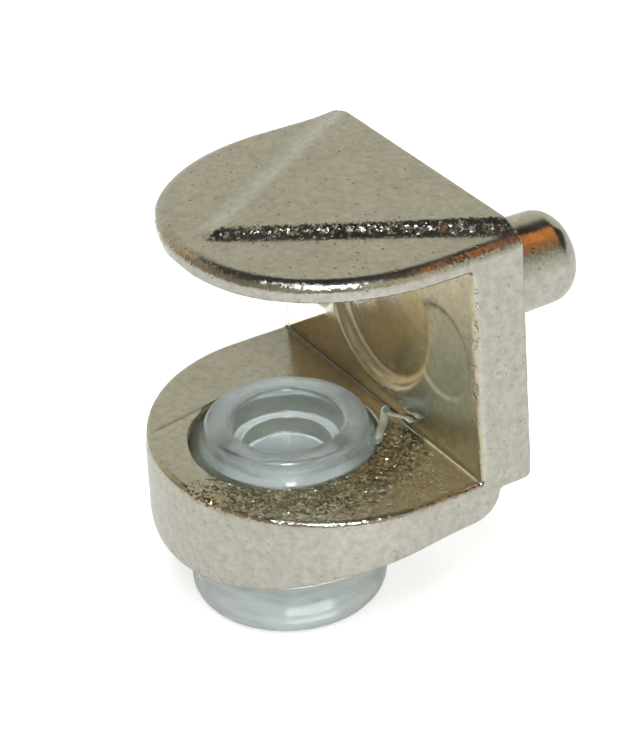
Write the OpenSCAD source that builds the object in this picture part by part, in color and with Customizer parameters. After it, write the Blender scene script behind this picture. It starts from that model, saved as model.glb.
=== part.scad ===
// Shelf support pin for a glass shelf: a die-cast clamp with two jaws on a back
// plate, a plug-in pin behind it, and a soft clear cushion set in the lower jaw.
// Millimetres. The pin axis lies along +Y and leaves the back plate's rear face
// at the origin. The jaws reach towards -Y and +Z is up.

/* [Pin] */
// Diameter of the plug-in pin
pin_d = 4.9; // [4:0.1:7]
// Length of the pin behind the back plate
pin_len = 7.9; // [5:0.1:14]
// Radius of the pin's rounded end
pin_round = 1.25; // [0.3:0.05:1.8]

/* [Back plate] */
// Thickness of the back plate
plate_t = 2.75; // [1.6:0.05:3.5]
// Width of the back plate at the upper jaw
top_w = 16.2; // [12.5:0.1:20]
// Width of the back plate at the lower jaw
bottom_w = 17.6; // [14.5:0.1:22]
// How far the back plate reaches below the lower jaw's top face
plate_drop = 0.65; // [0.2:0.05:1.8]
// Radius of the back plate's upright front edges
plate_round = 0.45; // [0.1:0.05:0.8]
// Radius of its rear bottom edge
plate_heel = 0.35; // [0.1:0.05:0.8]
// Diameter of the round recess in the inner face
recess_d = 8.5; // [5:0.1:9]
// Depth of that recess
recess_depth = 0.55; // [0.3:0.05:1]
// How much narrower the recess is at its floor, on the radius
recess_draft = 0.3; // [0:0.05:0.6]
// Diameter of the two ejector marks beside the recess
mark_d = 4.6; // [2:0.1:5]
// Distance of each mark's centre from the middle
mark_x = 5.4; // [4:0.1:6]
// Depth of the ejector marks
mark_depth = 0.06; // [0.02:0.01:0.2]

/* [Glass slot] */
// Height of the slot between the two jaws
slot_h = 10.75; // [9:0.1:16]
// Height of the upper jaw's underside above the pin axis
slot_up = 5.85; // [4:0.1:8]

/* [Upper jaw] */
// Length of the upper jaw from the rear face to its nose
upper_len = 13.1; // [9.5:0.1:18]
// Thickness of the upper jaw's plate
upper_t = 0.97; // [0.8:0.02:2.5]
// Radius of its top edge
upper_round = 0.45; // [0.1:0.05:0.7]
// Length of the rounded part of its outline
upper_curve = 9.25; // [5:0.05:9.4]
// Height of the raised wedge on top
wedge_h = 0.43; // [0.2:0.01:1.5]
// Width of the wedge's sloping flank
wedge_flank = 0.5; // [0.2:0.05:1]
// Rim left beside the wedge at the rear
wedge_rim = 0.55; // [0.2:0.05:1.5]
// Distance from the wedge's tip to the nose
wedge_tip = 1.4; // [1:0.1:3]

/* [Lower jaw] */
// Length of the lower jaw from the rear face to its nose
lower_len = 14.38; // [12:0.1:20]
// Thickness of the lower jaw at the back plate
lower_t = 2.2; // [1.5:0.05:4]
// Thickness of the lower jaw at its nose
nose_t = 4.85; // [3.6:0.05:7]
// Radius of its top edge
lower_round = 0.3; // [0.1:0.05:0.8]
// Length of the rounded part of its outline
lower_curve = 8.6; // [6:0.1:9.5]
// Length of the underside's sloping part
slope_len = 7.8; // [4:0.1:9]
// Distance from the rear face to the lower jaw's rear end
heel_gap = 1.7; // [0.5:0.05:1.8]
// Radius of the lower jaw's rear bottom edge
heel_round = 1.55; // [0.4:0.05:1.8]

/* [Cushion] */
// Diameter of the cushion's body in the bore
body_d = 8.88; // [6:0.02:10.8]
// Radial clearance of the body in the bore
body_gap = 0.06; // [0.02:0.01:0.3]
// Share of the floor's spare length that lies behind the bore
bore_share = 0.33; // [0.2:0.01:0.8]
// Wall of the boss around the bore
boss_wall = 1.3; // [0.6:0.1:1.8]
// How far the boss ends above the underside of the nose
boss_rise = 0.3; // [0:0.05:0.35]
// How far the ring that carries the glass is set in from the body
ring_inset = 0.46; // [0.1:0.02:1]
// Height of the ring above the lower jaw
ring_h = 0.92; // [0.5:0.02:2]
// Height of the shoulder below the ring
shoulder_h = 0.3; // [0.1:0.05:0.4]
// Width of the ring
ring_wall = 1.38; // [0.6:0.02:1.6]
// Radius of the ring's edges
ring_round = 0.22; // [0.05:0.01:0.25]
// Depth of the hole's first step
step_h = 1.3; // [0.5:0.1:2]
// Width of that step
step_w = 0.45; // [0.2:0.05:0.8]
// Depth of the hole's floor below the step
floor_h = 0.9; // [0.3:0.1:2]
// How far the foot's lip stands out beyond the body, under the boss
foot_lip = 0.41; // [0.2:0.01:1]
// Clearance around the foot where the underside dips past its seat
foot_gap = 0.15; // [0.05:0.01:0.4]
// Height of the foot
foot_h = 3.98; // [2:0.05:7]
// Radius of the foot's bottom edge
foot_round = 0.9; // [0.2:0.05:1.8]

/* [Hidden] */

sink = 0.4;                              // how far joined solids reach into each other
cut = 1;                                 // how far cutting tools reach past a face
thin = 0.01;                             // thickness of the layers that hull() joins
nose_steps = 56;                         // sides of a jaw's rounded outline
edge_steps = 5;                          // facets across a rounded edge
upper_power = 2.18;                      // fullness of the upper jaw's nose
lower_power = 2;                         // fullness of the lower jaw's nose

jaw_z = slot_up - slot_h;                // lower jaw's top face
plate_top = slot_up + upper_t;           // top of the upper jaw's plate
plate_bottom = jaw_z - plate_drop;
slot_mid = slot_up - slot_h / 2;
bore_r = body_d / 2 + body_gap;
bore_y = -plate_t - bore_r - bore_share * (lower_len - plate_t - 2 * bore_r);
boss_r = bore_r + boss_wall;
boss_h = nose_t - boss_rise;
boss_z = jaw_z - boss_h;
ring_z = jaw_z + ring_h;
foot_z = boss_z - foot_h;
ring_r = body_d / 2 - ring_inset;
hole_r = ring_r - ring_wall;
step_r = hole_r - step_w;
foot_r = body_d / 2 + foot_lip;

// Outline of a jaw, drawn in by an inset: straight sides from the rear edge, then
// a rounded nose
function nose(w, len, curve, power) = [
    for (i = [0:nose_steps]) let (a = 180 * i / nose_steps, c = cos(a))
        [sign(c) * w / 2 * pow(abs(c), 2 / power), curve - len - curve * pow(sin(a), 2 / power)]];

module jaw_outline(w, rear, len, curve, power, inset = 0) {
    polygon(concat([[inset - w / 2, -rear], [w / 2 - inset, -rear]],
                   nose(w - 2 * inset, len - inset, curve - inset, power)));
}

// How far a rounded edge of radius r has drawn in, and risen, at step i
function draw_in(r, i) = r * (1 - cos(90 * i / edge_steps));
function rise(r, i) = r * sin(90 * i / edge_steps);

// Slab of a jaw's outline with a rounded top edge
module jaw_slab(w, rear, len, curve, power, h, r) {
    hull() {
        linear_extrude(h - r) jaw_outline(w, rear, len, curve, power);
        for (i = [1:edge_steps]) translate([0, 0, h - r + rise(r, i) - thin])
            linear_extrude(thin) jaw_outline(w, rear, len, curve, power, draw_in(r, i));
    }
}

// Half width of the drafted back plate at a height
function half_w(z) = (bottom_w + (top_w - bottom_w) * (z - jaw_z) / slot_h) / 2;

// Face of the back plate, drawn in at its sides by an inset
module plate_face(inset = 0) {
    polygon([[inset - half_w(plate_bottom), plate_bottom], [half_w(plate_bottom) - inset, plate_bottom],
             [half_w(slot_up) - inset, slot_up], [half_w(slot_up) - inset, slot_up + sink],
             [inset - half_w(slot_up), slot_up + sink], [inset - half_w(slot_up), slot_up]]);
}

module back_plate() {
    core_t = plate_t - plate_round;
    difference() {
        rotate([90, 0, 0]) linear_extrude(core_t) plate_face();
        translate([-bottom_w, 0, plate_bottom]) rotate([90, 0, 90]) linear_extrude(2 * bottom_w)
            difference() {
                translate([-plate_heel, -cut]) square([plate_heel + cut, plate_heel + cut]);
                translate([-plate_heel, plate_heel]) circle(plate_heel, $fn = 48);
            }
    }
    rotate([90, 0, 0]) hull() {
        translate([0, 0, core_t - sink]) linear_extrude(sink) plate_face();
        for (i = [1:edge_steps]) translate([0, 0, core_t + rise(plate_round, i) - thin])
            linear_extrude(thin) plate_face(draw_in(plate_round, i));
    }
}

module pin() {
    rotate([-90, 0, 0]) rotate_extrude($fn = 96) union() {
        translate([0, -sink]) square([pin_d / 2, sink + pin_len - pin_round]);
        translate([0, -sink]) square([pin_d / 2 - pin_round, sink + pin_len]);
        intersection() {
            translate([pin_d / 2 - pin_round, pin_len - pin_round]) circle(pin_round, $fn = 48);
            square([pin_d / 2, pin_len]);
        }
    }
}

module upper_jaw() {
    translate([0, 0, slot_up])
        jaw_slab(top_w, 0, upper_len, upper_curve, upper_power, upper_t, upper_round);
}

// Raised wedge on the upper jaw, widest at the rear and pointed at the nose
module wedge() {
    base = top_w / 2 - wedge_rim;
    tip = upper_len - wedge_tip;
    hull() {
        translate([0, 0, plate_top - sink]) linear_extrude(sink)
            polygon([[-base, 0], [base, 0], [0, -tip]]);
        translate([0, 0, plate_top]) linear_extrude(wedge_h)
            polygon([[-base + wedge_flank, 0], [base - wedge_flank, 0], [0, -tip + wedge_flank]]);
    }
}

// Side profile of the lower jaw, in Y and Z: level behind, sloping to the nose
module lower_profile() {
    heel_y = -heel_gap - heel_round;
    heel_z = jaw_z - lower_t + heel_round;
    slope_y = slope_len - lower_len;
    polygon([[heel_y, jaw_z], [-heel_gap, jaw_z], [-heel_gap, heel_z],
             [heel_y, heel_z], [heel_y, jaw_z - lower_t], [slope_y, jaw_z - lower_t],
             [-lower_len, jaw_z - nose_t], [-lower_len, jaw_z]]);
    intersection() {
        translate([heel_y, heel_z]) circle(heel_round, $fn = 48);
        translate([heel_y, heel_z - heel_round]) square(heel_round);
    }
}

module lower_jaw() {
    intersection() {
        translate([0, 0, jaw_z - nose_t - cut]) jaw_slab(bottom_w, heel_gap, lower_len,
            lower_curve, lower_power, nose_t + cut, lower_round);
        translate([-bottom_w, 0, 0]) rotate([90, 0, 90]) linear_extrude(2 * bottom_w)
            lower_profile();
    }
    translate([0, bore_y, boss_z]) cylinder(h = boss_h - sink, r = boss_r, $fn = 128);
}

module casting() {
    color([0.75, 0.73, 0.66]) difference() {
        union() {
            back_plate();
            pin();
            upper_jaw();
            wedge();
            lower_jaw();
        }
        translate([0, bore_y, boss_z - cut])
            cylinder(h = boss_h + 2 * cut, r = bore_r, $fn = 128);
        translate([0, bore_y, boss_z - cut]) cylinder(h = cut, r = foot_r + foot_gap, $fn = 128);
        translate([0, recess_depth - plate_t, slot_mid]) rotate([90, 0, 0])
            cylinder(h = recess_depth, r1 = recess_d / 2 - recess_draft, r2 = recess_d / 2, $fn = 96);
        for (s = [-1, 1]) translate([s * mark_x, mark_depth - plate_t, slot_mid])
            rotate([90, 0, 0]) cylinder(h = mark_depth, d = mark_d, $fn = 64);
    }
}

// Quarter turn of points about a centre, from an angle
function turn(x, y, r, from) = [
    for (i = [0:edge_steps]) let (a = from + 90 * i / edge_steps) [x + r * cos(a), y + r * sin(a)]];

module cushion() {
    shoulder_z = jaw_z + shoulder_h;
    floor_z = ring_z - step_h - floor_h;
    color([0.80, 0.87, 0.87, 0.6]) translate([0, bore_y, 0]) rotate_extrude($fn = 128)
        polygon(concat(
            [[0, foot_z]], turn(foot_r - foot_round, foot_z + foot_round, foot_round, -90),
            [[foot_r, boss_z], [body_d / 2, boss_z], [body_d / 2, jaw_z], [ring_r, shoulder_z]],
            turn(ring_r - ring_round, ring_z - ring_round, ring_round, 0),
            turn(hole_r + ring_round, ring_z - ring_round, ring_round, 90),
            [[hole_r, ring_z - step_h], [step_r, ring_z - step_h], [step_r, floor_z], [0, floor_z]]));
}

casting();
cushion();
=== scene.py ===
"""Shelf support pin that grips a glass shelf: a nickel-plated casting with two jaws and a
plug-in pin, and the clear cushion that is pressed into its lower jaw."""
import bpy
import numpy as np
import openvdb
from mathutils import Matrix, Vector


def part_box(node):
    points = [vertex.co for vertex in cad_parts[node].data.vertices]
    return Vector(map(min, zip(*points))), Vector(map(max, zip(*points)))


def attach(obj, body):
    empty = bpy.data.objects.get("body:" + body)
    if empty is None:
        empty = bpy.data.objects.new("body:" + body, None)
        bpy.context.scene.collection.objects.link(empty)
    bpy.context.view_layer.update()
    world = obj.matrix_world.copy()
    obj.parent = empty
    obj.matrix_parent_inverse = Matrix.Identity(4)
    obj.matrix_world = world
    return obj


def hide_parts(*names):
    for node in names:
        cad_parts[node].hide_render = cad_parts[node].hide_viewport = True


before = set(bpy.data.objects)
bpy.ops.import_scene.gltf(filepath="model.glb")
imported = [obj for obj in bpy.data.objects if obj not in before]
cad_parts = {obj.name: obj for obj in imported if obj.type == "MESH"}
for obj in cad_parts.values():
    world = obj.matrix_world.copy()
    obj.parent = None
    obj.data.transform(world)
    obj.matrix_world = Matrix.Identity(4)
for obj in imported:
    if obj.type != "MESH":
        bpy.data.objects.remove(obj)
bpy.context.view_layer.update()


# ---------------------------------------------------------------------------------- casting
# The clamp itself: back plate, two jaws and plug-in pin, die cast in one piece of zinc and
# then nickel plated. It is held by its pin, which pushes into a hole in a cabinet side.
#
# Its skin is taken from a distance field and not from a grid or a carried profile, because
# nearly every inside corner is a small fillet and every edge is a little soft, and these run
# into one another where plate, jaws, wedge, boss and pin meet.
# Lengths are millimetres here, and a finished mesh is brought to metres.
MM = 0.001
casting_low, casting_high = (np.array(c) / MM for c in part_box("casting"))
cushion_low, cushion_high = (np.array(c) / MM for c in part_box("cushion"))

plate_front, plate_foot = -2.75, -5.55               # inner face and lower end of the plate
seat_z, roof_z = -4.9, 5.85                          # floor and roof of the slot for the glass
mid_z = (seat_z + roof_z) / 2
upper_half, upper_nose, upper_curve, upper_power = 8.1, -13.1, 9.25, 2.18
lower_half, lower_nose, lower_curve, lower_power = casting_high[0], casting_low[1], 8.6, 2.0
upper_top = 6.82                                     # top of the upper jaw beside its wedge
flank_x, flank_y, flank_out = 0.8402, -0.5423, 6.13  # where the wedge's flanks run, in plan
flank_tilt, far_flank_tilt = 0.558, 0.4              # radians; the far flank is gentler
lid_rise, lid_slope, lid_y = 0.28, 0.0135, -11       # flat top of the wedge, rising backwards
keel_z, keel_break, keel_slope = -7.1, -6.58, 0.34   # underside: level, then a slope down
heel_y = -1.7                                        # rear end of the lower jaw
bore_y = (cushion_low[1] + cushion_high[1]) / 2      # the cushion's axis stands in the bore
bore_r = 4.5
boss_r, boss_foot, boss_head = 5.8, -9.45, -6.0      # round boss under the bore
recess_r, recess_depth, recess_draft = 4.25, 0.55, 0.545    # hollow in the plate's inner face
square_to_cone, square_to_keel = 0.878, 0.947        # cosines of the two slopes above
mark_x, mark_r, mark_depth = 5.4, 2.3, 0.1           # ejector marks on both sides of it
pin_end, pin_root_r, pin_tip_r = casting_high[1], 2.45, 2.34
skin_inset, skin_wave = 0.004, 0.006                 # the cast skin undulates inside its sizes
mesh_step = 0.14


def join(a, b, r):
    """Both solids together. The corner between them carries a fillet of radius r: near the
    corner the distance is taken to the fillet's arc, elsewhere to the nearer solid."""
    arc = np.hypot(np.maximum(r - a, 0), np.maximum(r - b, 0))
    return np.maximum(r, np.minimum(a, b)) - arc


def meet(a, b, r):
    """What two solids share, with the edge between them rounded to radius r."""
    return -join(-a, -b, r)


def fade(value, start, end):
    """0 at start and 1 at end, straight between them and level beyond."""
    return np.clip((value - start) / (end - start), 0, 1)


def jaw_side(x, y, half, nose, curve, power):
    """Distance to a jaw's outline in plan: straight sides half a width out, then a nose where
    |x / half| ^ power + |y / curve| ^ power is 1. The distance is how far the root of that
    sum is from 1, over the root's own slope."""
    u = x / half
    v = np.maximum(nose + curve - y, 0) / curve
    total = u ** power + v ** power + 1e-9
    root = total ** (1 / power)
    slope = total ** (1 / power - 1) * np.hypot(u ** (power - 1) / half, v ** (power - 1) / curve)
    return (root - 1) / (slope + 1e-6)


def slow_waves(p, count, longest, shortest):
    """Sum of plane sine waves in seeded directions, between about -1 and 1."""
    rng = np.random.default_rng(5)
    way = rng.normal(size=(count, 3))
    way /= np.linalg.norm(way, axis=1, keepdims=True)
    length = rng.uniform(shortest, longest, count)
    phase = rng.uniform(0, 2 * np.pi, count)
    return sum(np.sin(p @ (w * 2 * np.pi / l) + f) for w, l, f in zip(way, length, phase)) / count


def slot_and_recess(x, y, z):
    """Distance to the hollow that takes the glass: in front of the plate, between seat and
    roof, deeper by the two ejector marks, and joined to the recess, a shallow cone that
    narrows into the plate by its draft."""
    from_mark = np.hypot(x - mark_x, z - mid_z) - mark_r
    mark = mark_depth / 2 * (1 - np.tanh(from_mark / 0.12))
    slot = meet(meet(y - plate_front - mark, z - roof_z, r=0.2), seat_z - z, r=0.14)
    draft = recess_draft * np.maximum(y - plate_front, -0.3)
    cone = (np.hypot(x, z - mid_z) - recess_r + draft) * square_to_cone
    return join(slot, meet(cone, y - plate_front - recess_depth, r=0.25), r=0.2)


def jaw_top(right, x, y, z):
    """Distance to the top of the upper jaw and the wedge on it: two sloping flanks, a lid
    that rises a little towards the plate, and a blunt tip."""
    tilt = np.interp(right, [-0.6, 0.6], [far_flank_tilt, flank_tilt])
    flank = (np.sin(tilt) * (flank_x * x + flank_y * y - flank_out)
             + np.cos(tilt) * (z - upper_top - 0.215))
    lid = z - upper_top - lid_rise - lid_slope * (y - lid_y)
    tip = 0.6 * (-11.5 - y) + 0.8 * (z - upper_top - 0.1)
    wedge = meet(meet(flank, lid, r=np.where(right > 0, 0.1, 0.14)), tip, r=0.3)
    return join(z - upper_top, wedge, r=0.2)


def casting_distance(p):
    """Distance of points from the casting's skin, less than 0 inside: the outline in plan,
    less the slot and its recess, cut off by the top with its wedge and by the underside, with
    the boss added and the bore taken out, then the pin. A faint flow line of the metal is
    sunk into the far side of the lower jaw's nose."""
    x, y, z = np.abs(p[..., 0]), p[..., 1], p[..., 2]
    half = lower_half + (upper_half - lower_half) * fade(z, seat_z, roof_z)
    side = np.where(z > mid_z, jaw_side(x, y, half, upper_nose, upper_curve, upper_power),
                    jaw_side(x, y, half, lower_nose, lower_curve, lower_power))
    slot_edge = np.interp(z, [seat_z, seat_z + 1, roof_z - 1, roof_z], [0.3, 0.45, 0.45, 0.13])
    body = meet(side, -slot_and_recess(x, y, z), r=slot_edge)
    body = meet(body, jaw_top(p[..., 0], x, y, z), r=0.6 + 0.15 * fade(y, -7, -1))

    slope = (keel_z + keel_slope * (y - keel_break) - z) * square_to_keel
    under = join(keel_z - z, slope, r=1.2)
    rear = meet(y, join(y - heel_y, plate_foot - z, r=0.2), r=0.35)
    body = meet(body, meet(rear, under, r=1.5), r=np.interp(z, [-7, -5], [0.38, 0.13]))

    from_bore = np.hypot(x, y - bore_y)
    boss = meet(meet(from_bore - boss_r, boss_foot - z, r=0.2), z - boss_head, r=0.2)
    body = join(body, boss, r=0.5)
    body = meet(body, -np.maximum(from_bore - bore_r, z), r=0.2)

    from_line = (p[..., 0] + 3.63 + 0.188 * (y + 13)) / 0.2
    on_nose = (np.abs(z - seat_z) < 0.3) * fade(y, -9, -10) * fade(side, -0.2, -0.7)
    body = body + 0.03 * np.exp(-from_line ** 2) * on_nose

    taper = pin_root_r + (pin_tip_r - pin_root_r) * fade(y, 0, pin_end)
    pin = meet(meet(np.hypot(x, z) - taper, y - pin_end, r=1.25), -1.5 - y, r=0.1)
    return join(body, pin, r=0.22) + skin_inset + skin_wave * slow_waves(p, 7, 4.5, 1.6)


def skin_slope(field, p, step=0.01):
    """Gradient of the distance, from differences across a small step along each axis."""
    axes = np.eye(3) * step
    return np.stack([field(p + a) - field(p - a) for a in axes], -1) / (2 * step)


def skin(field, low, high, cell):
    """Closed surface where the distance is 0: cells of a grid that the surface crosses each
    give a corner, then three Newton steps put the corners on the true surface."""
    axes = [np.arange(a - 3 * cell, b + 3 * cell, cell) for a, b in zip(low, high)]
    values = np.stack([field(np.stack(np.meshgrid([x], axes[1], axes[2], indexing="ij"), -1))[0]
                       for x in axes[0]])
    grid = openvdb.FloatGrid(1.0)
    grid.copyFromArray(values.astype(np.float32))
    points, quads = grid.convertToQuads(0.0)
    points = points.astype(float) * cell + [a[0] for a in axes]
    for _ in range(3):
        g = skin_slope(field, points)
        points -= field(points)[:, None] * g / np.maximum((g * g).sum(1, keepdims=True), 0.05)
    g = skin_slope(field, points)
    return points, quads.astype(int), g / np.linalg.norm(g, axis=1, keepdims=True)


def put(name, data):
    """Object of this name in the scene."""
    obj = bpy.data.objects.new(name, data)
    bpy.context.scene.collection.objects.link(obj)
    return obj


points, quads, outward = skin(casting_distance, casting_low, casting_high, mesh_step)
casting_mesh = bpy.data.meshes.new("casting_skin")
casting_mesh.from_pydata(points * MM, [], quads)
casting_mesh.shade_smooth()
casting_mesh.normals_split_custom_set_from_vertices(outward)
casting = put("nickel_casting", casting_mesh)

# Where the skin differs, as a share from 0 to 1 at every point. The near half of the seat and
# the wedge's near flank came out of the mould coarse; the rest of the slot is smooth.
px, py, pz = points.T
in_slot = (pz > seat_z - 0.2) * (pz < roof_z + 0.2)
from_bore_edge = np.abs(np.hypot(px, py - bore_y) - bore_r - 0.4)
near_bore = fade(from_bore_edge, 2.56, 0.96)
seat = (np.abs(pz - seat_z) < 0.4) * fade(px - 0.1 * (py - bore_y), 1.2, 3.2) * (py < -3)
from_flank = flank_x * px + flank_y * py - flank_out - 0.02
wedge_side = np.exp(-(from_flank / 0.35) ** 2) * (pz > 6.75) * fade(py, -11.9, -11.4)
jaw_edge = (outward[:, 2] > 0.3) * (outward[:, 2] < 0.92) * (pz > 6) * (pz < 6.8) * (py < 0)
coarse_seat = seat * (0.25 * np.maximum(fade(py, -13.2, -11.2), 0.3) + 0.75 * near_bore)
polish = (in_slot * (np.abs(px) < lower_half - 0.6) * (1 - seat) * (outward[:, 0] < 0.6)
          * fade(px, 4.9, 4.1))

# Painted shade: the corner of plate and seat is darkened on its far side, where it gets little
# light.
from_corner = np.where(pz < seat_z + 0.4, plate_front - py, pz - seat_z)
in_corner = in_slot * (py < plate_front + 0.7) * (np.abs(px) < lower_half - 0.3)
in_corner = in_corner * (outward[:, 2] > -0.5) * fade(px, 1, -3)
painted_corner_shade = in_corner * np.exp(-np.clip(from_corner, 0, 20) / 2.2)

# The plate's inner face: matt on the near side and on the near half of the recess's floor,
# satin on the recess's rim, and bright as a mirror low down on the far side.
wall = (outward[:, 1] < -0.7) * (py > plate_front - 0.3) * (pz > seat_z) * (pz < roof_z)
recess_floor = wall * (py > plate_front + 0.35) * fade(px, 0.3, 2.1)
matt = np.clip(wall * fade(px, 3.4, 4.6) + recess_floor, 0, 1)
mirror = wall * fade(px, -4.1, -4.8) * fade(pz, 0.5, -1.0)
from_rim = np.abs(np.hypot(px, pz - mid_z) - recess_r + 0.1)
rim = fade(from_rim, 0.8, 0.3) * (py > plate_front - 0.3) * (py < plate_front + 0.7)

# A row of small flaws in the plating follows the near edge of the plate's inner face.
edge_x = np.interp(pz, [seat_z, 0.6], [8.36, 8.15])
flaw = np.exp(-((px - edge_x) / 0.16) ** 2 - ((py + 2.7) / 0.2) ** 2)
flaw *= (pz > seat_z + 0.2) * (pz < 5.6) * np.interp(pz, [-1.5, 0.6], [0.6, 1.0])

# Glittering skin round the bore. It and the plate's inner face are warmed in colour, a painted warm
# reflection.
bore_glitter = seat * near_bore
shares = {"coarse": np.clip(coarse_seat + wedge_side + 0.2 * jaw_edge, 0, 1),
          "polish": polish, "painted_corner_shade": painted_corner_shade, "matt": matt, "mirror": mirror, "rim": rim,
          "flaw": flaw, "bore_glitter": bore_glitter,
          "painted_warm_reflection": bore_glitter + 0.3 * wall + 0.5 * (matt + rim + recess_floor)}
for name, share in shares.items():
    casting_mesh.attributes.new(name, "FLOAT", "POINT").data.foreach_set("value", share)


class Finish:
    """The nodes of one finish. Each method adds a node and gives back its output. What goes
    into an input is a number, a colour or another node's output."""

    def __init__(self, owner):
        owner.use_nodes = True
        self.tree = owner.node_tree
        self.tree.nodes.clear()

    def node(self, kind, inputs=None, output=0, **settings):
        """Adds a node of this kind with its inputs and settings."""
        new = self.tree.nodes.new("ShaderNode" + kind)
        for key, value in settings.items():
            setattr(new, key, value)
        for key, value in (inputs or {}).items():
            if hasattr(value, "is_output"):
                self.tree.links.new(value, new.inputs[key])
            else:
                new.inputs[key].default_value = value
        return new.outputs[output] if new.outputs else new

    def place(self):
        """Place on the object in millimetres."""
        here = self.node("TexCoord", output="Object")
        return self.node("Mapping", {"Vector": here, "Scale": (1 / MM, 1 / MM, 1 / MM)})

    def share(self, name):
        """Number that the mesh holds under this name at each point."""
        return self.node("Attribute", output="Fac", attribute_name=name)

    def noise(self, place, scale, **inputs):
        return self.node("TexNoise", {"Vector": place, "Scale": scale, **inputs}, "Fac")

    def maths(self, operation, *inputs):
        return self.node("Math", dict(enumerate(inputs)), operation=operation)

    def times(self, a, b):
        return self.maths("MULTIPLY", a, b)

    def plus(self, total, amount, of):
        """The total with an amount of something added."""
        return self.maths("MULTIPLY_ADD", of, amount, total)

    def fade(self, value, start, end, at_start=0, at_end=1, **settings):
        """at_start at start and at_end at end, straight between them and level beyond."""
        return self.node("MapRange", {"Value": value, "From Min": start, "From Max": end,
                                      "To Min": at_start, "To Max": at_end}, **settings)

    def vectors(self, operation, *inputs, output=0):
        return self.node("VectorMath", dict(enumerate(inputs)), output, operation=operation)

    def distance(self, a, b):
        return self.vectors("DISTANCE", a, b, output="Value")

    def scaled(self, vector, by):
        return self.node("VectorMath", {0: vector, "Scale": by}, operation="SCALE")

    def tinted(self, colour, change, by):
        """The colour times 1 + change, where the change is taken by a share."""
        factor = self.vectors("ADD", self.scaled(change, by), (1, 1, 1))
        return self.vectors("MULTIPLY", colour, factor)

    def colours(self, value, *stops):
        """Colour through stops of position and colour, in rising order."""
        ramp = self.tree.nodes.new("ShaderNodeValToRGB")
        self.tree.links.new(value, ramp.inputs["Fac"])
        elements = ramp.color_ramp.elements
        for k, (position, colour) in enumerate((stops[0], stops[-1])):
            elements[k].position, elements[k].color = position, (*colour, 1)
        for position, colour in stops[1:-1]:
            elements.new(position).color = (*colour, 1)
        return ramp.outputs[0]


def new_finish(mesh, name):
    """Gives the mesh a material of this name, still without nodes."""
    material = bpy.data.materials.new(name)
    mesh.materials.append(material)
    return Finish(material)


nickel = new_finish(casting_mesh, "bright_nickel_plate")
place = nickel.place()
coarse, polished = nickel.share("coarse"), nickel.share("polish")
matt, mirror, rim = nickel.share("matt"), nickel.share("mirror"), nickel.share("rim")

# Relief: a fine grain, scattered pits on the unpolished skin, and the flaws along the edge.
smooth_part = nickel.plus(nickel.plus(1.0, -0.5, polished), -0.45, mirror)
grain = nickel.noise(place, 6.0, Detail=3, Roughness=0.6)
depth = nickel.times(nickel.fade(coarse, 0, 1, 0.006, 0.02), smooth_part)
from_pit = nickel.node("TexVoronoi", {"Vector": place, "Scale": 1.9}, "Distance")
pit = nickel.times(nickel.fade(from_pit, 0.06, 0.17, 1, 0), nickel.maths("SUBTRACT", 1.0, polished))
spots = nickel.fade(nickel.noise(place, 3.2, Detail=1), 0.54, 0.64)
height = nickel.plus(nickel.times(grain, depth), -0.012, pit)
height = nickel.plus(height, -0.055, nickel.times(spots, nickel.share("flaw")))
bump = nickel.node("Bump", {"Height": height, "Strength": 1.0, "Distance": MM})

# Coarse skin is made of small facets that glitter. Each cell of a Voronoi pattern leans its
# own way, more in clusters, and round the bore they also lean together, away from the lamps.
facet = nickel.node("TexVoronoi", {"Vector": place, "Scale": 8.5}, "Color")
facet = nickel.vectors("SUBTRACT", facet, (0.5, 0.5, 0.5))
cluster = nickel.fade(nickel.noise(place, 2.8, Detail=3), 0.42, 0.62, 0.25, 1.15)
tilt = nickel.plus(nickel.times(coarse, cluster), 0.04, smooth_part)
steeper = nickel.times(nickel.share("bore_glitter"), cluster)
facet = nickel.scaled(facet, nickel.maths("ADD", tilt, steeper))
lean = nickel.scaled((-0.16, -0.12, 0.0), steeper)
bump = nickel.vectors("ADD", nickel.vectors("ADD", bump, facet), lean)
bump = nickel.vectors("NORMALIZE", bump)

cloud = nickel.noise(place, 0.5, Detail=2)
gloss = nickel.fade(cloud, 0.3, 0.7, 0.18, 0.3)
for amount, of in (-0.06, polished), (-0.13, mirror), (0.1, matt), (0.14, rim):
    gloss = nickel.plus(gloss, amount, of)

# Colour: mottled plate, duller in the coarse skin and the pits, with painted shade in the corner of
# plate and seat, a painted dark line along that corner that fades towards the near side, and
# painted warm reflection.
mottle = nickel.noise(place, 2.4, Detail=5, Roughness=0.72)
plate_colour = nickel.colours(mottle, (0.3, (0.52, 0.50, 0.43)), (0.66, (0.69, 0.68, 0.60)))
bright = nickel.plus(1.0, -0.2, coarse)
for amount, of in (-0.3, pit), (-0.38, nickel.share("painted_corner_shade")), (0.16, matt):
    bright = nickel.plus(bright, amount, of)
# Painted shade: a dark line on the fillet along the corner of plate and seat, darkest on the far
# side.
across = nickel.vectors("MULTIPLY", place, (0, 1, 1))
crease = nickel.distance(across, (0, plate_front, seat_z))
aside = nickel.fade(nickel.node("SeparateXYZ", {"Vector": place}, "X"), 0.5, 3.5, 0.58, 0.85)
bright = nickel.times(bright, nickel.fade(crease, 0.1, 0.17, aside, 1.0))
plate_colour = nickel.scaled(plate_colour, bright)
# Painted warm reflection: the colour is warmed round the bore and on the plate's inner face.
plate_colour = nickel.tinted(plate_colour, (0.0, -0.1, -0.32), nickel.share("painted_warm_reflection"))
metal = nickel.node("BsdfPrincipled", {"Base Color": plate_colour, "Metallic": 1.0,
                                       "Roughness": gloss, "Normal": bump})
nickel.node("OutputMaterial", {"Surface": metal})
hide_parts("casting")
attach(casting, "root")


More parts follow.
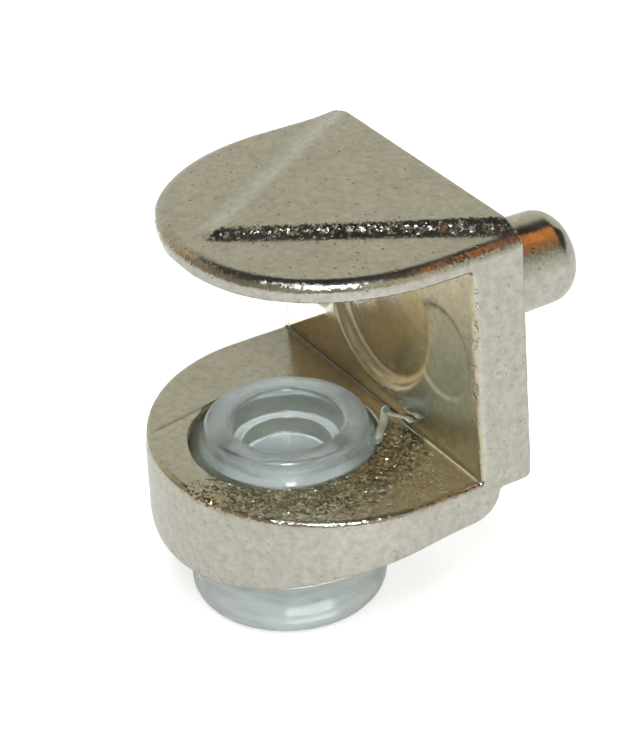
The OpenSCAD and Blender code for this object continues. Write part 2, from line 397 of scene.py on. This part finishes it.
# ---------------------------------------------------------------------------------- cushion
# Clear soft plastic, moulded in one piece and pressed into the bore from below: a ring that
# the glass rests on, a round body, and a wider foot that stops it at the boss underneath.
foot_z, ring_top = cushion_low[2], cushion_high[2]
foot_r, body_r, hole_r = 4.8, 4.44, 2.6
step_z, step_r, blind_z = -5.28, 2.15, -6.18         # the hole in the ring narrows, then ends
lean_from, lean_over = -9, 4                         # the soft top leans a little in its bore
lean_x, lean_y = 0.08, 0.14
flash_thick = 0.12


def turned(corners, radii, turns=128, arc_steps=7):
    """Profile carried once round the cushion's axis. Each corner of the profile is replaced by
    an arc of its radius, and the ends of the profile lie on the axis as poles."""
    line = [corners[0]]
    for back, here, on, r in zip(corners[:-2], corners[1:-1], corners[2:], radii):
        a, b = (back - here) / np.linalg.norm(back - here), (on - here) / np.linalg.norm(on - here)
        half_angle = np.arccos(np.clip(a @ b, -1, 1)) / 2
        reach = r / np.tan(half_angle)
        centre = here + (a + b) / np.linalg.norm(a + b) * r / np.sin(half_angle)
        start, end = here + a * reach - centre, here + b * reach - centre
        t = np.linspace(0, 1, arc_steps)[:, None]
        spread = np.pi - 2 * half_angle
        line.extend(centre + (np.sin((1 - t) * spread) * start + np.sin(t * spread) * end)
                    / np.sin(spread))
    line.append(corners[-1])
    line = np.array(line)
    angle = np.linspace(0, 2 * np.pi, turns, endpoint=False)
    ring = line[1:-1]
    shell = np.stack([np.outer(ring[:, 0], np.cos(angle)),
                      np.outer(ring[:, 0], np.sin(angle)) + bore_y,
                      np.repeat(ring[:, 1:], turns, 1)], -1).reshape(-1, 3)
    shell[:, :2] += fade(shell[:, 2:], lean_from, lean_from + lean_over) * (lean_x, lean_y)
    poles = [[0, bore_y, line[0, 1]], [0, bore_y, line[-1, 1]]]
    rows, cols = len(ring), np.arange(turns)
    first = (np.arange(rows - 1)[:, None] * turns + cols).ravel()
    nxt = (np.arange(rows - 1)[:, None] * turns + (cols + 1) % turns).ravel()
    faces = np.stack([first, nxt, nxt + turns, first + turns], 1).tolist()
    base, top, last = rows * turns, rows * turns + 1, (rows - 1) * turns
    faces += np.stack([np.full(turns, base), (cols + 1) % turns, cols], 1).tolist()
    faces += np.stack([np.full(turns, top), last + cols, last + (cols + 1) % turns], 1).tolist()
    return np.vstack([shell, poles]), faces


def sliver(way_points, width, thick, steps=40, sides=10):
    """Flat oval carried along a smooth line through the points: each station's oval stands
    across the line, and shrinks towards both ends, which close on a point."""
    way_points = np.array(way_points, float)
    at = np.linspace(0, len(way_points) - 1, steps)
    line = np.stack([np.interp(at, range(len(way_points)), c) for c in way_points.T], 1)
    for _ in range(4):
        line[1:-1] = (line[:-2] + 2 * line[1:-1] + line[2:]) / 4
    along = np.gradient(line, axis=0)
    along /= np.linalg.norm(along, axis=1, keepdims=True)
    across = np.cross(along, (0, 0, 1))
    across /= np.linalg.norm(across, axis=1, keepdims=True)
    raised = np.cross(across, along)
    turn = np.linspace(0, 2 * np.pi, sides, endpoint=False)
    swell = np.sqrt(np.clip(1 - np.linspace(-1, 1, steps) ** 8, 0, 1))[:, None, None]
    ring = (across[:, None] * np.cos(turn)[:, None] * width
            + raised[:, None] * np.sin(turn)[:, None] * thick) / 2 * swell
    body = (line[:, None] + ring)[1:-1].reshape(-1, 3)
    row = np.arange(steps - 3)[:, None] * sides
    k, n = np.arange(sides), (np.arange(sides) + 1) % sides
    faces = np.stack([row + k, row + n, row + n + sides, row + k + sides], -1).reshape(-1, 4)
    last, tips = (steps - 3) * sides, len(body)
    faces = faces.tolist() + [[tips, b, a] for a, b in zip(k.tolist(), n.tolist())]
    faces += [[tips + 1, last + a, last + b] for a, b in zip(k.tolist(), n.tolist())]
    return np.vstack([body, line[[0, -1]]]), faces


# The profile from the middle of the foot, up the outside, over the ring and into the hole.
corners = np.array([(0, foot_z), (foot_r - 0.04, foot_z), (foot_r, boss_foot),
                    (body_r, boss_foot), (4.24, -5.05), (4.03, -4.65), (3.87, ring_top),
                    (hole_r + 0.1, ring_top), (hole_r, step_z), (step_r, step_z),
                    (step_r - 0.05, blind_z), (0, blind_z)])
corner_radii = [0.9, 0.15, 0.1, 0.12, 0.5, 0.24, 0.3, 0.15, 0.12, 0.2]
shell, faces = turned(corners, corner_radii)

# A thin sliver of moulding flash stands out of the bore beside the ring and lies on the seat,
# and a second one branches from its end.
plug_points = len(shell)
stem = [(3.2, -5.05, -4.86), (3.15, -4.8, -4.75), (2.75, -4.45, -4.68), (2.05, -3.75, -4.72),
        (1.55, -3.35, -4.6), (1.25, -3.1, -4.4)]
branch = [(1.35, -3.3, -4.6), (1.85, -3.2, -4.62), (2.3, -3.05, -4.5), (2.9, -3.0, -4.3),
          (3.3, -2.98, -4.32), (3.6, -2.97, -4.15)]
for way_points, width in (stem, 0.46), (branch, 0.4):
    strand, strand_faces = sliver(way_points, width, flash_thick)
    faces += [[i + len(shell) for i in face] for face in strand_faces]
    shell = np.vstack([shell, strand])
cushion_mesh = bpy.data.meshes.new("cushion_skin")
cushion_mesh.from_pydata(shell * MM, [], faces)
cushion_mesh.shade_smooth()
stretched = (np.arange(len(shell)) >= plug_points).astype(float)
cushion_mesh.attributes.new("stretched", "FLOAT", "POINT").data.foreach_set("value", stretched)
cushion = put("clear_cushion", cushion_mesh)

clear = new_finish(cushion_mesh, "clear_soft_plastic")
place = clear.place()
level = clear.node("SeparateXYZ", {"Vector": place}, "Z")
stretched = clear.share("stretched")
ripple = clear.noise(place, 0.9, Detail=2)
bump = clear.node("Bump", {"Height": ripple, "Strength": 1.0, "Distance": 0.08 * MM})

# Milky streaks along the flow of the plastic, a clearer ring than foot, and cloudy flash.
flow = clear.node("Mapping", {"Vector": place, "Scale": (0.25, 0.25, 1.1)})
milky = clear.fade(clear.noise(flow, 1.0, Detail=2, Distortion=0.2), 0.36, 0.66)
clearness = clear.fade(level, -10.2, -9.0, 0.66, 0.93)
clearness = clear.plus(clear.plus(clearness, -0.24, milky), -0.12, stretched)

# Tone by height, with painted light and shade: painted shade at the foot's top under the boss, a
# painted bright band at the hole's floor, and painted shade on the ring for the dark bore seen
# through it.
tone_and_painted_light = clear.colours(clear.fade(level, -14.0, -4.0),
                     (0.0, (0.76, 0.85, 0.86)), (0.25, (0.76, 0.85, 0.86)),
                     (0.42, (0.62, 0.69, 0.69)), (0.78, (0.90, 1.0, 1.0)),
                     (0.92, (0.62, 0.70, 0.69)), (1.0, (0.36, 0.41, 0.40)))
tone_and_painted_light = clear.vectors("ADD", tone_and_painted_light, clear.scaled((-0.26, -0.16, -0.16), stretched))

# Painted shade: the body's side, where the bore stands close round it, is darkened to the bore's
# brown.
from_axis = clear.distance(clear.vectors("MULTIPLY", place, (1, 1, 0)), (0, bore_y, 0))
painted_bore_shade = clear.times(clear.fade(from_axis, 3.6, 4.0), clear.fade(level, -4.95, -5.35))
painted_bore_shade = clear.times(painted_bore_shade, clear.fade(level, -9.5, -9.3))
tone_and_painted_light = clear.tinted(tone_and_painted_light, (-0.4, -0.45, -0.56), painted_bore_shade)
plastic = clear.node("BsdfPrincipled", {"Base Color": tone_and_painted_light, "Roughness": 0.23, "IOR": 1.45,
                                        "Transmission Weight": clearness, "Coat Weight": 1.0,
                                        "Coat Roughness": 0.03, "Normal": bump})
clear.node("OutputMaterial", {"Surface": plastic})
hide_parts("cushion")
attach(cushion, "root")


# ------------------------------------------------------------------------ floor and light
# A plain white table under the pin, and a soft studio round it. The table and the room are
# white to the camera and through the plastic; the metal mirrors a darker, warmer room.
table_half, table_z = 2.0, (foot_z - 0.02) * MM
table = bpy.data.meshes.new("table")
table.from_pydata([(x * table_half, y * table_half, table_z)
                   for x, y in ((-1, -1), (1, -1), (1, 1), (-1, 1))], [], [(0, 1, 2, 3)])
floor = put("floor", table)

white = new_finish(table, "white_table")
place = white.place()
rays = white.node("LightPath").node.outputs
seen = white.maths("MAXIMUM", rays["Is Camera Ray"], rays["Is Transmission Ray"])
from_pin = white.vectors("LENGTH", place, output="Value")
seen = white.times(seen, white.fade(from_pin, 60, 300, 0.62, 1.0))

# A painted pool of light on the table in front of the pin shows only in the gloss, and a painted
# glow on the table right under the cushion shows only through the foot.
painted_table_light = white.fade(white.distance(place, (29, -14, foot_z)), 0, 18, 0.42, 0.14,
                 interpolation_type="SMOOTHSTEP")
seen = white.plus(seen, painted_table_light, rays["Is Glossy Ray"])
# Painted glow on the table under the cushion, seen only through the plastic.
under = white.fade(white.distance(place, (0, bore_y, foot_z)), 1.5, 4.5, 1.2, 0,
                   interpolation_type="SMOOTHSTEP")
seen = white.plus(seen, under, rays["Is Transmission Ray"])
paper = white.node("BsdfDiffuse", {"Color": (0.55, 0.55, 0.55, 1)})
glow = white.node("Emission", {"Color": (1, 1, 1, 1), "Strength": seen})
white.node("OutputMaterial", {"Surface": white.node("AddShader", {0: paper, 1: glow})})

# The room that the metal mirrors, by height: pale walls, then a dark ceiling; and browner in
# front of the jaws, where the wooden furniture stands.
world = bpy.data.worlds.new("studio")
bpy.context.scene.world = world
studio = Finish(world)
sky = studio.node("TexCoord", output="Generated")
up = studio.node("SeparateXYZ", {"Vector": sky}, "Z")
room = studio.colours(up, (0.0, (0.68, 0.68, 0.63)), (0.15, (0.66, 0.65, 0.59)),
                      (0.38, (0.58, 0.56, 0.465)), (0.63, (0.55, 0.53, 0.43)),
                      (0.73, (0.035, 0.035, 0.038)), (1.0, (0.03, 0.03, 0.033)))
ahead = studio.vectors("DOT_PRODUCT", sky, (0.15, -0.5, 0.0), output="Value")
brown = studio.colours(studio.maths("ADD", ahead, 0.5), (0.44, (1, 1, 1)),
                       (0.55, (1.0, 0.88, 0.72)), (0.63, (0.92, 0.74, 0.53)),
                       (0.72, (0.45, 0.40, 0.34)))
room = studio.vectors("MULTIPLY", room, brown)
plain = studio.node("Background", {"Color": (1, 1, 1, 1), "Strength": 1.0})
mirrored = studio.node("Background", {"Color": room, "Strength": 1.0})
to_camera = studio.node("LightPath", output="Is Camera Ray")
mixed = studio.node("MixShader", {0: to_camera, 1: mirrored, 2: plain})
studio.node("OutputWorld", {"Surface": mixed})


def lamp(name, at, size, power, colour=(1, 1, 1), shows=True):
    """Square soft lamp that faces the pin."""
    light = bpy.data.lights.new(name, "AREA")
    light.size, light.energy, light.color = size, power, colour
    obj = put(name, light)
    obj.location = at
    obj.rotation_euler = (-Vector(at)).to_track_quat("-Z", "Y").to_euler()
    obj.visible_glossy = shows


lamp("front_lamp", (0.33, -0.21, 0.47), 0.13, 1.5, (0.92, 0.96, 1.0))
lamp("flash", (0.35, -0.21, 0.2), 0.03, 0.85, shows=False)
lamp("overhead", (-0.1, 0.1, 0.8), 0.5, 4.0, shows=False)


def card(name, corners, colour, strength):
    """Flat card in the studio that only the metal's and the plastic's gloss shows."""
    mesh = bpy.data.meshes.new(name)
    mesh.from_pydata(corners, [], [tuple(range(len(corners)))])
    face = new_finish(mesh, name)
    light = face.node("Emission", {"Color": (*colour, 1), "Strength": strength})
    face.node("OutputMaterial", {"Surface": light})
    obj = put(name, mesh)
    for kind in ("camera", "shadow", "diffuse", "transmission"):
        setattr(obj, "visible_" + kind, False)


card("wooden_ceiling", [(-0.05, 0.244, 0.44), (0.42, 0.244, 0.44), (0.42, 0.36, 0.44),
                        (-0.05, 0.36, 0.44)], (1.0, 0.38, 0.11), 0.8)
card("reflector", [(0.02, -0.30, 0.52), (0.2, -0.30, 0.52), (0.2, -0.16, 0.6),
                   (0.02, -0.16, 0.6)], (1, 1, 1), 2.5)
card("black_cloth", [(-0.1, 0.5, 0.14), (0.6, 0.5, 0.14), (0.6, 0.5, 0.6), (-0.1, 0.5, 0.6)],
     (1, 1, 1), 0.03)

# White paper on the table at the pin's far side, for the polished wall to mirror, and two
# arcs of window light round the cushion's foot.
low = (foot_z + 0.1) * MM
card("bright_paper", [(-0.10, -0.0125, low), (-0.03, -0.0182, low), (-0.0155, -0.0091, low),
                      (-0.0155, -0.003, low), (-0.10, -0.003, low)], (1, 1, 1), 2.5)
turn = np.radians(np.linspace(-34, 2, 9))
for k, (near, far, strength) in enumerate([(5.5, 5.8, 3.0), (6.1, 6.9, 4.0)]):
    strip = [(r * np.cos(a) * MM, (r * np.sin(a) + bore_y) * MM, low)
             for r, way in ((near, turn), (far, turn[::-1])) for a in way]
    card("window_strip_%d" % k, strip, (0.9, 0.97, 1), strength)


# ----------------------------------------------------------------------------------- camera
# It looks down on the jaws from the front right, with a long lens and a slight roll. The
# angles are in degrees round the pin.
lens, sensor_width = 125.66, 36                      # millimetres
azimuth, elevation, roll = np.radians([59.411, 31.401, -2.25])
eye = np.array([89.25, -58.72, 61.33]) * MM
camera_data = bpy.data.cameras.new("camera")
camera = put("camera", camera_data)
bpy.context.scene.camera = camera
camera_data.lens, camera_data.sensor_width = lens, sensor_width
camera_data.clip_start = 0.01
back = np.array([np.cos(elevation) * np.sin(azimuth), -np.cos(elevation) * np.cos(azimuth),
                 np.sin(elevation)])
right = np.array([np.cos(azimuth), np.sin(azimuth), 0])
upward = np.cross(back, right)
pose = np.eye(4)
pose[:3, 0] = right * np.cos(roll) + upward * np.sin(roll)
pose[:3, 1] = upward * np.cos(roll) - right * np.sin(roll)
pose[:3, 2], pose[:3, 3] = back, eye
camera.matrix_world = Matrix(pose)

bpy.context.scene.view_settings.view_transform = "Standard"
